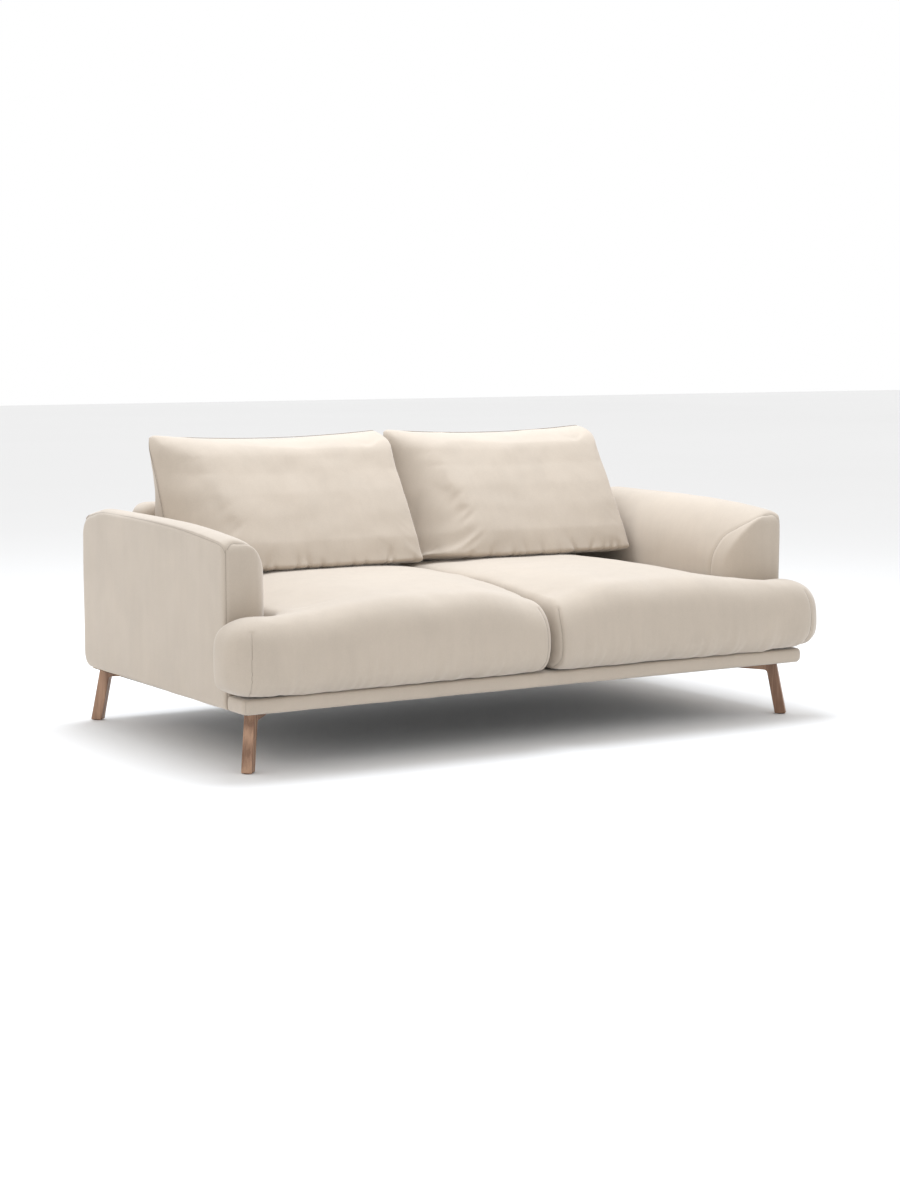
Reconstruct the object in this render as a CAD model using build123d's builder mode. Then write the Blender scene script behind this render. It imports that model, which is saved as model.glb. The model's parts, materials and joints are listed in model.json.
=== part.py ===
"""Two-seat sofa with loose T-shaped seat cushions, loose back cushions and splayed wooden legs.

Millimetres, +Z up, front towards -Y. The origin is on the floor, under the middle of the
overall box. A right-hand piece lies on +X, and its left-hand twin is its mirror image.
"""
import os
from math import cos, radians, tan

from build123d import *

os.makedirs("parts", exist_ok=True)

# ---- Driving dimensions -------------------------------------------------------------
arms_width = 1960            # over the outer faces of the arms
frame_depth = 1112           # front rail to outside back
nose_overhang = 52           # seat cushions stand this far out over the front rail
wing_overhang = 55           # and this far out past the arms
leg_height = 168             # floor to underside
base_height = 44             # underside to the top of the seat deck
seat_top = 466               # floor to the flat rear part of the seat cushions
back_cushion_top = 886       # floor to the top corners of the back cushions

arm_width = 160
arm_setback = 107            # front rail to the front of the arms
arm_crown = 678              # floor to the top of the arm's rounded section
arm_rear_top = 674           # floor to the arm's level top at the rear
arm_front_top = 648          # floor to the arm's top at its front
arm_top_curve = 400          # radius where the level top starts to fall, side view
arm_roll = 150               # radius of the inner top shoulder
arm_corner = 110             # plan radius of the inner front corner
arm_edge = 10                # radius of the outer top edge
arm_front_edge = 30          # radius of the front top corner, side view
arm_rear_corner = 58         # radius of the rear corners, side view

back_width_each_side = arms_width / 2 - arm_width
back_thickness = 126
back_top = 675
back_end_corner = 60         # radius of the top ends, front view
back_front_edge = 50         # radius of the front top edge
back_rear_edge = 40          # radius of the rear top edge

rail_corner = 14             # plan radius of the front rail's corners
rail_edge = 8                # radius of its top edges

fabric = 2                   # cover cloth with its lining
dust_cloth = 1.5
webbing = 2
felt = 3
board = 4                    # hardboard panels
arm_foam = 22                # foam between the arm cover and the arm frame
rail_foam = 12               # foam round the front rail
back_foam = 20

rail_width = 70
side_rail_ledge = 25         # what the side rails show inside the arms, for the webbing
rear_rail_width = 105
centre_rail_width = 50
post_width = 50
post_depth = 40
stile_width = 40
back_rail_height = 35
block_side = 80              # glue blocks in the corners of the seat frame
rail_rear_tuck = 6           # how far the timber reaches into the arm's rear corner radius
post_setback = 14            # front post behind the foam, clear of the front edge's radius
arm_rail_drop = 100          # arm's front top to the underside of its top rail
arm_rail_height = 28
back_frame_setback = 8       # back frame in front of the rear rail's face
panel_edge_gap = 2           # top of the outside back below the rounded edge
panel_slot_depth = 6         # room behind the rounded edge for the outside back

strap_width = 60
straps_lengthwise = 7        # in each bay of the seat
straps_crosswise = 7
strap_landing = 20           # what a cross strap rests on at each end
back_straps = 4

arm_gap = 3                  # seat cushion to arm
seat_back_gap = 4            # seat cushion to back frame
middle_gap = 3               # each cushion to the middle plane
deck_gap = 0.5               # seat cushion to deck, and back cushion to seat cushion
cover_gap = 1                # between neighbouring covers on the frame

nose_top = 418               # where the top of the seat cushions would meet their front
wing_top = 408               # and where it would meet the end of a wing
seat_taper = 300             # how far behind the front the top becomes flat
cushion_sag = 18             # middle of a back cushion's top below its corners
cushion_side_gap = 4         # back cushion to arm, more than the seat cushion's
lean_gap = 8                 # back cushion to the face of the back frame
back_cushion_depth = 322     # at its bottom
cushion_waist_depth = 236    # at the height of the back frame
cushion_waist_drop = 10      # that height below the top of the back frame
cushion_head_depth = 94      # at its top
cushion_head_lean = 10       # how far the top leans back past the face below
cushion_bend_drop = 30       # where the rear starts to lean, below the back frame's top
cushion_bend_rise = 100      # and where it stands furthest back, above it
cushion_bend_lean = 42       # and how far back that is

seat_plan_radii = (25, 70, 35, 15, 15)       # inner nose, wing nose, wing rear, rear corners
seat_side_radii = (90, 20, 20, 300, 70)      # side view, from the bottom of the nose
seat_front_radii = (20, 75, 75, 300, 20)     # front view, from the inner bottom edge
cushion_front_radii = (25, 25, 30, 600, 30)  # front view, from the inner bottom corner
cushion_side_radii = (45, 25, 120, 80, 25, 45, 350)

leg_section = 34             # along the diagonal
leg_thickness = 30           # across the diagonal
leg_lean = 11.5              # degrees outwards, along the diagonal
foot_side_inset = 39         # arm's outer face to the foot's centre
foot_front_inset = 58        # front rail to the front foot's centre
foot_rear_inset = 22         # outside back to the rear foot's centre
bearer_length = 125          # from the leg inwards, along the diagonal
bearer_height = 29
bearer_end_height = 23
bearer_fillet = 11
bearer_end_corner = 6
foot_corner = 3
leg_rounding = 2.5
glide_radius = 11
glide_thickness = 2

screw_radius = 2.5
screw_head_radius = 5
screw_head_height = 3
screw_cover = 3              # how deep the head sits in the thin end of the bearer
screw_bite = 26              # what a leg screw reaches into the seat frame
screw_places = (46, 126)     # from the top of the leg, along the bearer
bolt_radius = 4
bolt_head_radius = 8
bolt_head_height = 5
washer_radius = 10
washer_thickness = 1.5
bolt_bite = 60               # what a frame bolt reaches into the post above
hole_clearance = 0.25

zip_height = 24
zip_length = 560
seat_zip_height = 120        # deck to the zip of a seat cushion
back_zip_height = 48         # seat cushion to the zip of a back cushion

# ---- Derived places -----------------------------------------------------------------
half_width = arms_width / 2
half_depth = (frame_depth + nose_overhang) / 2
front = -half_depth + nose_overhang          # face of the front rail
rear = half_depth                            # outside back
arm_front = front + arm_setback
arm_inner = half_width - arm_width
back_front = rear - back_thickness
base_bottom = leg_height + dust_cloth
deck_top = leg_height + base_height
felt_bottom = deck_top - fabric - felt
rail_top = felt_bottom - cover_gap - 2 * webbing

rail_side = half_width - fabric - rail_foam  # ends of the timber frame
rail_front = front + fabric + rail_foam
rail_rear = rear - arm_rear_corner + rail_rear_tuck
side_rail_inner = arm_inner - side_rail_ledge
front_rail_inner = rail_front + rail_width
rear_rail_inner = rail_rear - rear_rail_width
cavity_inset = fabric + arm_foam             # the arm frame stands inside this inset

post_outer = half_width - cavity_inset - 2 * board
post_inner = post_outer - post_width
post_front = arm_front + cavity_inset + post_setback
post_rear = rail_rear
post_top = arm_front_top - arm_rail_drop
arm_rail_top = post_top + arm_rail_height

back_frame_front = back_front + fabric + back_foam
back_frame_rear = rail_rear - back_frame_setback
back_side = back_width_each_side - cover_gap
back_frame_side = back_side - back_foam
back_frame_top = back_top - back_foam
reach = 3 * half_width                       # long enough to pass through everything
ease = 0.1                                   # between outlines that cross at a corner


def keep(piece, name):
    """Label a finished piece and write it as its own STEP file."""
    piece.part.label = name
    export_step(piece.part, f"parts/{name}.step")


def block(x0, x1, y0, y1, z0, z1):
    """A plain board or bar between two corners."""
    with BuildPart() as piece:
        with BuildSketch(Plane.XY.offset(z0)):
            with Locations(((x0 + x1) / 2, (y0 + y1) / 2)):
                Rectangle(abs(x1 - x0), abs(y1 - y0))
        extrude(amount=z1 - z0)
    return piece


def mirrored(piece):
    """The left-hand twin of a right-hand piece."""
    with BuildPart() as twin:
        mirror(piece.part, about=Plane.YZ)
    return twin


def keep_pair(piece, name):
    """Keep a right-hand piece and its left-hand twin."""
    keep(piece, f"right_{name}")
    keep(mirrored(piece), f"left_{name}")


def drawn_in(points, radii, inset):
    """An outline with its sides moved inwards by inset. Its points run counter-clockwise."""
    corners = [Vector(*point) for point in points]
    new_points = []
    new_radii = []
    for number, corner in enumerate(corners):
        before = (corner - corners[number - 1]).normalized()
        after = (corners[(number + 1) % len(corners)] - corner).normalized()
        turn = before.X * after.Y - before.Y * after.X
        share = inset / (1 + before.dot(after))
        normals = Vector(-before.Y - after.Y, before.X + after.X)
        moved = corner + normals * share
        new_points.append((moved.X, moved.Y))
        next_corner = corners[(number + 1) % len(corners)]
        room = min((corner - corners[number - 1]).length, (next_corner - corner).length)
        radius = radii[number] - inset if turn > 0 else radii[number] + inset
        radius = min(radius, (room - 2 * inset) * 0.95)
        new_radii.append(max(radius, 0) if radii[number] else 0)
    return new_points, new_radii


def crossed(inset, *outlines):
    """The solid that fills every outline at once: each is (plane, points, corner radii).

    Each outline is a hair larger than the one before it, so that no two share a face.
    """
    with BuildPart() as solid:
        for number, (plane, points, radii) in enumerate(outlines):
            points, radii = drawn_in(points, radii, inset - ease * number)
            with BuildSketch(plane):
                with BuildLine():
                    FilletPolyline(points, radius=radii, close=True)
                make_face()
            mode = Mode.INTERSECT if number else Mode.ADD
            extrude(amount=reach, both=True, mode=mode)
    return solid


def hollow(outer, *cuts):
    """One solid less some others."""
    with BuildPart() as shell:
        add(outer.part)
        for cut in cuts:
            add(cut.part, mode=Mode.SUBTRACT)
    return shell


# ---- Seat frame ---------------------------------------------------------------------
leg_direction = cos(radians(45))
top_shift = leg_height * tan(radians(leg_lean))
foot_x = half_width - foot_side_inset
feet = {
    "front": (foot_x, front + foot_front_inset, 1),
    "rear": (foot_x, rear - foot_rear_inset, -1),
}


def along_bearer(foot, distance):
    """A place under the frame, a distance inwards from the top of the leg."""
    x, y, inwards = foot
    run = (top_shift + distance) * leg_direction
    return x - run, y + inwards * run


screw_head_top = leg_height - bearer_end_height + screw_head_height + screw_cover
screw_points = [along_bearer(foot, place) for foot in feet.values() for place in screw_places]
bolt_x = (post_inner + post_outer) / 2
bolt_points = [(bolt_x, post_front + post_depth / 2), (bolt_x, post_rear - post_depth / 2)]
back_bolt_y = (back_frame_front + back_frame_rear) / 2
back_bolt_x = back_frame_side - stile_width / 2
bolt_points.append((back_bolt_x, back_bolt_y))


def drilled(piece, points, radius, bottom, top, head_radius=0, head_height=0):
    """A rail with upright holes from bottom to top, and room for a head below each."""
    with BuildPart() as done:
        add(piece.part)
        for x, y in points:
            with BuildSketch(Plane.XY.offset(bottom)):
                with Locations((x, y), (-x, y)):
                    Circle(radius)
            extrude(amount=top - bottom, mode=Mode.SUBTRACT)
            if head_height:
                with BuildSketch(Plane.XY.offset(bottom)):
                    with Locations((x, y), (-x, y)):
                        Circle(head_radius)
                extrude(amount=head_height, mode=Mode.SUBTRACT)
    return done


def base_rail(x0, x1, y0, y1):
    """A rail of the seat frame with its screw and bolt holes."""
    rail = block(x0, x1, y0, y1, base_bottom, rail_top)
    rail = drilled(rail, screw_points, screw_radius, base_bottom, base_bottom + screw_bite)
    head_room = bolt_head_height + washer_thickness
    return drilled(rail, bolt_points, bolt_radius + hole_clearance, base_bottom, rail_top,
                   washer_radius + hole_clearance, head_room)


keep(base_rail(-rail_side, rail_side, rail_front, front_rail_inner), "front_rail")
keep(base_rail(-rail_side, rail_side, rear_rail_inner, rail_rear), "rear_rail")
keep_pair(base_rail(side_rail_inner, rail_side, front_rail_inner, rear_rail_inner), "side_rail")
keep(block(-centre_rail_width / 2, centre_rail_width / 2, front_rail_inner, rear_rail_inner,
           base_bottom, rail_top), "centre_rail")

with BuildPart() as corner_blocks:
    with BuildSketch(Plane.XY.offset(base_bottom)):
        for side in (1, -1):
            for y, inwards in ((front_rail_inner, 1), (rear_rail_inner, -1)):
                x = side * side_rail_inner
                with BuildLine():
                    Polyline((x, y), (x - side * block_side, y), (x, y + inwards * block_side),
                             close=True)
                make_face()
    extrude(amount=rail_top - base_bottom)
keep(corner_blocks, "corner_blocks")


# ---- Seat suspension ----------------------------------------------------------------
def seat_straps():
    """Long straps over cross straps in the right-hand bay."""
    bay_start = centre_rail_width / 2
    bay = side_rail_inner - bay_start
    long_start = rail_front + strap_landing / 2
    long_end = back_front - cover_gap
    cross_end = side_rail_inner + strap_landing
    cross_bay = rear_rail_inner - front_rail_inner
    with BuildPart() as straps:
        with BuildSketch(Plane.XY.offset(rail_top)):
            for number in range(straps_crosswise):
                y = front_rail_inner + cross_bay * (number + 0.5) / straps_crosswise
                with Locations(((cross_end + middle_gap) / 2, y)):
                    Rectangle(cross_end - middle_gap, strap_width)
        extrude(amount=webbing)
        with BuildSketch(Plane.XY.offset(rail_top + webbing)):
            for number in range(straps_lengthwise):
                x = bay_start + bay * (number + 0.5) / straps_lengthwise
                with Locations((x, (long_start + long_end) / 2)):
                    Rectangle(strap_width, long_end - long_start)
        extrude(amount=webbing)
    return straps


keep_pair(seat_straps(), "seat_webbing")
deck_side = arm_inner - cover_gap
keep(block(-deck_side, deck_side, arm_front, back_front - cover_gap, felt_bottom,
           felt_bottom + felt), "deck_felt")
keep(block(-deck_side, deck_side, arm_front, back_front - cover_gap, deck_top - fabric,
           deck_top), "deck_cloth")


# ---- Front rail upholstery ----------------------------------------------------------
def rail_body(inset, back_by, down_by):
    """The padded front rail, drawn in by inset, with its open back and bottom run out."""
    back_line = arm_front - cover_gap + back_by
    bottom = leg_height - down_by
    plan = [(-half_width, back_line), (-half_width, front), (half_width, front),
            (half_width, back_line)]
    side = [(back_line, bottom), (back_line, deck_top), (front, deck_top), (front, bottom)]
    return crossed(inset, (Plane.XY, plan, [0, rail_corner, rail_corner, 0]),
                   (Plane.YZ, side, [0, 0, rail_edge, rail_edge]))


timber_room = block(-rail_side, rail_side, rail_front, rail_rear, 0, felt_bottom)
rail_outer = rail_body(0, 0, 0)
rail_inner = rail_body(fabric, 2 * fabric, 2 * fabric)
keep(hollow(rail_outer, rail_inner), "front_rail_cover")
rail_pad = hollow(rail_body(fabric, fabric, fabric), timber_room)
keep(rail_pad, "front_rail_padding")


# ---- Arms ---------------------------------------------------------------------------
def arm_body(inset):
    """The right arm, drawn in by inset all round."""
    section = [(arm_inner, -reach), (half_width, -reach), (half_width, arm_crown),
               (arm_inner, arm_crown)]
    profile = [(arm_front, leg_height), (rear, leg_height), (rear, arm_rear_top),
               (back_front, arm_rear_top), (arm_front, arm_front_top)]
    plan = [(arm_inner, arm_front), (reach, arm_front), (reach, reach), (arm_inner, reach)]
    return crossed(inset, (Plane.XZ, section, [0, 0, arm_edge, arm_roll - arm_edge]),
                   (Plane.YZ, profile, [0, arm_rear_corner, arm_rear_corner, arm_top_curve,
                                        arm_front_edge]),
                   (Plane.XY, plan, [arm_corner, 0, 0, 0]))


base_room = block(-rail_side, rail_side, rail_front, rail_rear + cover_gap, 0, rail_top)
open_bottom = block(arm_inner + fabric, half_width - fabric, arm_front + fabric,
                    rear - arm_rear_corner, 0, leg_height + 2 * fabric)
arm_outer = arm_body(0)
arm_pad_outer = arm_body(fabric)
arm_cavity = arm_body(cavity_inset)
keep_pair(hollow(arm_pad_outer, arm_cavity, base_room), "arm_padding")

# The facing is the front panel, which wraps round the inner front corner.
facing_seam = Plane(origin=(half_width, arm_front + fabric, 0), z_dir=(-1, -1, 0))
for name, side in (("arm_facing", Keep.TOP), ("arm_cover", Keep.BOTTOM)):
    with BuildPart() as arm_part:
        add(arm_outer.part)
        split(bisect_by=facing_seam, keep=side)
    keep_pair(hollow(arm_part, arm_pad_outer, open_bottom, base_room), name)

for name, post_y in (("front", post_front), ("rear", post_rear - post_depth)):
    post = block(post_inner, post_outer, post_y, post_y + post_depth, rail_top, post_top)
    bolt_hole = [(bolt_x, post_y + post_depth / 2)]
    post = drilled(post, bolt_hole, bolt_radius, rail_top, rail_top + bolt_bite)
    keep_pair(post, f"arm_{name}_post")
keep_pair(block(post_inner, post_outer, post_front, post_rear, post_top, arm_rail_top),
          "arm_top_rail")
panel_inner = arm_inner + cavity_inset
panel_outer = half_width - cavity_inset
keep_pair(block(panel_inner, panel_inner + board, arm_front + arm_corner, post_rear, rail_top,
                arm_crown - arm_roll), "arm_inner_panel")
keep_pair(block(panel_outer - board, panel_outer, post_front, post_rear, rail_top, post_top),
          "arm_outer_panel")


# ---- Back frame ---------------------------------------------------------------------
def back_body(inset, below):
    """The padded back between the arms, with its open bottom run out."""
    low = rail_top - below
    section = [(-back_side, low), (back_side, low), (back_side, back_top), (-back_side, back_top)]
    profile = [(back_front, low), (rear, low), (rear, back_top), (back_front, back_top)]
    return crossed(inset, (Plane.XZ, section, [0, 0, back_end_corner, back_end_corner]),
                   (Plane.YZ, profile, [0, 0, back_rear_edge, back_front_edge]))


panel_top = back_top - back_rear_edge - panel_edge_gap
back_pad_outer = back_body(fabric, fabric)
back_room = block(-back_frame_side, back_frame_side, back_frame_front, reach, 0, back_frame_top)
panel_room = block(-reach, reach, rear - back_rear_edge - panel_slot_depth, reach, 0, panel_top)
keep(hollow(back_pad_outer, back_room, panel_room), "back_padding")
back_inner = back_body(fabric, 2 * fabric)
keep(hollow(back_body(0, 0), back_inner, panel_room), "back_cover")
keep(block(-back_side, back_side, rear - fabric, rear, base_bottom, panel_top - cover_gap),
     "outside_back")

stile_top = back_frame_top - back_rail_height
bottom_rail_top = rail_top + back_rail_height
bottom_rail = block(-back_frame_side, back_frame_side, back_frame_front, back_frame_rear,
                    rail_top, bottom_rail_top)
back_bolt = [(back_bolt_x, back_bolt_y)]
keep(drilled(bottom_rail, back_bolt, bolt_radius, rail_top, bottom_rail_top), "back_bottom_rail")
keep(block(-back_frame_side, back_frame_side, back_frame_front, back_frame_rear, stile_top,
           back_frame_top), "back_top_rail")
outer_stile = block(back_frame_side - stile_width, back_frame_side, back_frame_front,
                    back_frame_rear, bottom_rail_top, stile_top)
keep_pair(drilled(outer_stile, back_bolt, bolt_radius, bottom_rail_top, rail_top + bolt_bite),
          "back_stile")
keep(block(-stile_width / 2, stile_width / 2, back_frame_front, back_frame_rear,
           bottom_rail_top, stile_top), "back_centre_stile")

with BuildPart() as back_webbing:
    with BuildSketch(Plane.XZ.offset(-back_frame_rear)):
        for number in range(back_straps):
            z = bottom_rail_top + (stile_top - bottom_rail_top) * (number + 0.5) / back_straps
            with Locations((0, z)):
                Rectangle(2 * back_frame_side, strap_width)
    extrude(amount=-webbing)
keep(back_webbing, "back_webbing")

# ---- Dust cover ---------------------------------------------------------------------
with BuildPart() as dust_cover:
    with BuildSketch(Plane.XY.offset(leg_height)):
        with Locations((0, (rail_front + rail_rear) / 2)):
            Rectangle(2 * rail_side, rail_rear - rail_front)
        with Locations((0, (rail_rear + rear - fabric) / 2)):
            Rectangle(2 * back_side, rear - fabric - rail_rear)
    extrude(amount=dust_cloth)
keep(drilled(dust_cover, screw_points, screw_radius + hole_clearance, leg_height,
             leg_height + dust_cloth), "dust_cover")


# ---- Cushions -----------------------------------------------------------------------
def seat_cushion(inset):
    """The right seat cushion: an L in plan, whose wing lies in front of the arm."""
    side_line = arm_inner - arm_gap
    wing_line = arm_front - arm_gap
    wing_end = half_width + wing_overhang
    back_line = back_front - seat_back_gap
    nose = front - nose_overhang
    bottom = deck_top + deck_gap
    plan = [(middle_gap, nose), (wing_end, nose), (wing_end, wing_line), (side_line, wing_line),
            (side_line, back_line), (middle_gap, back_line)]
    profile = [(nose, bottom), (back_line, bottom), (back_line, seat_top),
               (arm_front + seat_taper, seat_top), (nose, nose_top)]
    section = [(middle_gap, bottom), (wing_end, bottom), (wing_end, wing_top),
               (arm_inner, seat_top), (middle_gap, seat_top)]
    plan_radii = [*seat_plan_radii[:3], arm_corner + arm_gap, *seat_plan_radii[3:]]
    return crossed(inset, (Plane.XY, plan, plan_radii),
                   (Plane.YZ, profile, seat_side_radii),
                   (Plane.XZ, section, seat_front_radii))


def back_cushion(inset):
    """The right back cushion, which leans on the top front edge of the back frame."""
    side_line = arm_inner - arm_gap - cushion_side_gap
    bottom = seat_top + deck_gap
    top = back_cushion_top
    section = [(middle_gap, bottom), (side_line, bottom), (side_line, top),
               ((middle_gap + side_line) / 2, top - cushion_sag), (middle_gap, top)]
    support = back_front - lean_gap
    head = support + cushion_head_lean
    profile = [(support - back_cushion_depth, bottom), (support, bottom),
               (support, back_top - cushion_bend_drop),
               (support + cushion_bend_lean, back_top + cushion_bend_rise),
               (head, top), (head - cushion_head_depth, top),
               (support - cushion_waist_depth, back_top - cushion_waist_drop)]
    return crossed(inset, (Plane.XZ, section, cushion_front_radii),
                   (Plane.YZ, profile, cushion_side_radii))


def keep_cushion(shape, name, zip_rear, zip_bottom):
    """A cushion's cover, its core, and the zip in a slot of the cover's rear wall."""
    middle = (middle_gap + arm_inner) / 2
    slot = block(middle - zip_length / 2, middle + zip_length / 2, zip_rear - fabric,
                 zip_rear, zip_bottom, zip_bottom + zip_height)
    core = hollow(shape(fabric), slot)
    keep_pair(hollow(shape(0), core, slot), f"{name}_cover")
    keep_pair(core, f"{name}_core")
    keep_pair(slot, f"{name}_zip")


keep_cushion(seat_cushion, "seat_cushion", back_front - seat_back_gap,
             deck_top + seat_zip_height)
keep_cushion(back_cushion, "back_cushion", back_front - lean_gap, seat_top + back_zip_height)


# ---- Legs ---------------------------------------------------------------------------
def leg(foot):
    """A leaning plank leg and its bearer, cut from one upright plane along the diagonal."""
    x, y, inwards = foot
    lean = tan(radians(leg_lean))
    half = leg_section / 2
    joint_height = leg_height - bearer_height
    tip = half + top_shift + bearer_length
    outline = [(-half + glide_thickness * lean, glide_thickness),
               (half + glide_thickness * lean, glide_thickness),
               (half + joint_height * lean, joint_height), (tip, leg_height - bearer_end_height),
               (tip, leg_height), (-half + top_shift, leg_height)]
    leg_radii = [foot_corner, foot_corner, bearer_fillet, bearer_end_corner, 0, 0]
    upright = Plane(origin=(x, y, 0), x_dir=(-1, inwards, 0), z_dir=(inwards, 1, 0))
    with BuildPart() as piece:
        with BuildSketch(upright):
            with BuildLine():
                FilletPolyline(outline, radius=leg_radii, close=True)
            make_face()
        extrude(amount=leg_thickness / 2, both=True)
        long_edges = [edge for edge in piece.edges()
                      if abs(upright.to_local_coords(edge.center()).Z) > leg_thickness / 2 - 0.1
                      and edge.center().Z < leg_height - 0.1]
        fillet(long_edges, leg_rounding)
        for radius, top in ((screw_radius, leg_height), (screw_head_radius, screw_head_top)):
            with BuildSketch(Plane.XY):
                for place in screw_places:
                    with Locations(along_bearer(foot, place)):
                        Circle(radius + hole_clearance)
            extrude(amount=top, mode=Mode.SUBTRACT)
    return piece


for name, foot in feet.items():
    keep_pair(leg(foot), f"{name}_leg")


def turned_set(points, *rings):
    """One solid at each point and at its mirror image, from steps of (radius, bottom, top)."""
    with BuildPart() as pieces:
        for radius, bottom, top in rings:
            with BuildSketch(Plane.XY.offset(bottom)):
                for x, y in points:
                    with Locations((x, y), (-x, y)):
                        Circle(radius)
            extrude(amount=top - bottom)
    return pieces


keep(turned_set([foot[:2] for foot in feet.values()], (glide_radius, 0, glide_thickness)),
     "leg_glides")

# ---- Screws and bolts ---------------------------------------------------------------
keep(turned_set(screw_points,
                (screw_head_radius, screw_head_top - screw_head_height, screw_head_top),
                (screw_radius, screw_head_top, base_bottom + screw_bite)), "leg_screws")

washer_bottom = base_bottom + bolt_head_height
bolt_shanks = turned_set(bolt_points, (bolt_radius, washer_bottom, rail_top + bolt_bite))
with BuildPart() as frame_bolts:
    add(bolt_shanks.part)
    with BuildSketch(Plane.XY.offset(base_bottom)):
        for x, y in bolt_points:
            with Locations((x, y), (-x, y)):
                RegularPolygon(bolt_head_radius, 6)
    extrude(amount=bolt_head_height)
keep(frame_bolts, "frame_bolts")
washers = turned_set(bolt_points, (washer_radius, washer_bottom, washer_bottom + washer_thickness))
keep(drilled(washers, bolt_points, bolt_radius + hole_clearance, washer_bottom,
             washer_bottom + washer_thickness), "bolt_washers")
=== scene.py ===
# %% [markdown]
# A sofa is timber and webbing wrapped in foam and cloth, so it is built in that order here.
# The frame comes first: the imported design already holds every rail, post, leg and screw in its
# true place. Everything soft is then made around it, in metres, and rides on the same bodies.

# %% Load the frame
import json
import math

import bpy
import numpy as np
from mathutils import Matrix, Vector, noise
from mathutils.bvhtree import BVHTree
from mathutils.kdtree import KDTree


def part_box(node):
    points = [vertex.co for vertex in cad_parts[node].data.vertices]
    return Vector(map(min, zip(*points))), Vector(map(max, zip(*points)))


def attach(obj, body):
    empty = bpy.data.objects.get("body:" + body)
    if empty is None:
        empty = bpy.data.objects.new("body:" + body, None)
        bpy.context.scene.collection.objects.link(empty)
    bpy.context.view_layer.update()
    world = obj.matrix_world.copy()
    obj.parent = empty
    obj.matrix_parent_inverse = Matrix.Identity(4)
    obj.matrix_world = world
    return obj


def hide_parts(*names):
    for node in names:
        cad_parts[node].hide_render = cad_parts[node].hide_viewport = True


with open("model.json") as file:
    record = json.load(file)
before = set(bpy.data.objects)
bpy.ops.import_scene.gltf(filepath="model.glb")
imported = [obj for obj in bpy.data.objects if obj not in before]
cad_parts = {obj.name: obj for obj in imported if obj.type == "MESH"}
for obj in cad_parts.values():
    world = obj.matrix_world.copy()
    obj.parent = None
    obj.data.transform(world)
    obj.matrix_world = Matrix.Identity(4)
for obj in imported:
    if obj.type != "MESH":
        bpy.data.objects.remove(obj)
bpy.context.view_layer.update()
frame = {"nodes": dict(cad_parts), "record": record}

# %% [markdown]
# Every soft piece is measured from the design. These few values are the faces that the
# upholstery meets: the deck, the arms, the back frame and the front rail.

# %% Read the faces that the upholstery meets
arm_low, arm_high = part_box("right_arm_cover")
facing_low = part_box("right_arm_facing")[0]
rail_low, rail_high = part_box("front_rail_cover")
back_low, back_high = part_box("back_cover")
seat_low, seat_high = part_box("right_seat_cushion_cover")
pillow_low, pillow_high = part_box("right_back_cushion_cover")
arm_inner = min(arm_low.x, facing_low.x)
arm_outer = arm_high.x
arm_front = min(arm_low.y, facing_low.y)
arm_top = arm_high.z
rear = arm_high.y
underside = arm_low.z
print("arm x", round(arm_inner, 3), "to", round(arm_outer, 3), "y", round(arm_front, 3),
      "to", round(rear, 3), "z", round(underside, 3), "to", round(arm_top, 3))
print("seat", [round(c, 3) for c in (*seat_low, *seat_high)])
print("back cushion", [round(c, 3) for c in (*pillow_low, *pillow_high)])
print("back", [round(c, 3) for c in (*back_low, *back_high)])
print("rail", [round(c, 3) for c in (*rail_low, *rail_high)])


# %% [markdown]
# A mesh is quicker to shape as one table of points than vertex by vertex. These helpers move
# a mesh's points in and out of such a table, make an object from points and faces, and turn
# whatever modifiers an object carries into plain mesh.

# %% Helpers for meshes
def points_of(piece, kind="co"):
    table = np.empty(len(piece.data.vertices) * 3)
    piece.data.vertices.foreach_get(kind, table)
    return table.reshape(-1, 3)


def put_points(piece, table):
    piece.data.vertices.foreach_set("co", np.ascontiguousarray(table, np.float32).ravel())
    piece.data.update()


def new_piece(name, points, faces, edges=()):
    mesh = bpy.data.meshes.new(name)
    mesh.from_pydata([tuple(p) for p in points], edges, [tuple(f) for f in faces])
    piece = bpy.data.objects.new(name, mesh)
    bpy.context.scene.collection.objects.link(piece)
    return piece


def settle_modifiers(piece):
    """Make the piece's mesh what its modifiers show, and drop them."""
    graph = bpy.context.evaluated_depsgraph_get()
    mesh = bpy.data.meshes.new_from_object(piece.evaluated_get(graph))
    old = piece.data
    piece.modifiers.clear()
    piece.data = mesh
    bpy.data.meshes.remove(old)
    mesh.name = piece.name
    return piece


def changed(piece, kind, **settings):
    """The piece with one modifier of this kind, made part of its mesh."""
    modifier = piece.modifiers.new(kind, kind)
    for key, value in settings.items():
        setattr(modifier, key, value)
    return settle_modifiers(piece)


def ease(value):
    """0 to 1 with a gentle start and end."""
    value = np.clip(value, 0, 1)
    return value * value * (3 - 2 * value)


def ripple(points, size, seed, octaves=2):
    """Smooth noise from about -1 to 1 at each point, with lumps of this size."""
    shift = Vector((seed * 7.3, seed * 3.1, seed * 5.7))
    return np.array([noise.fractal(Vector(p) / size + shift, 1.0, 2.0, octaves)
                     for p in points])


# %% [markdown]
# An upholsterer cuts a cushion from outlines: one as seen from above, one from the side, one
# from the front. The same outlines give the shape here. Each is a closed line with rounded
# corners, and a table of points can be asked how far outside it each of them is.

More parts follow.
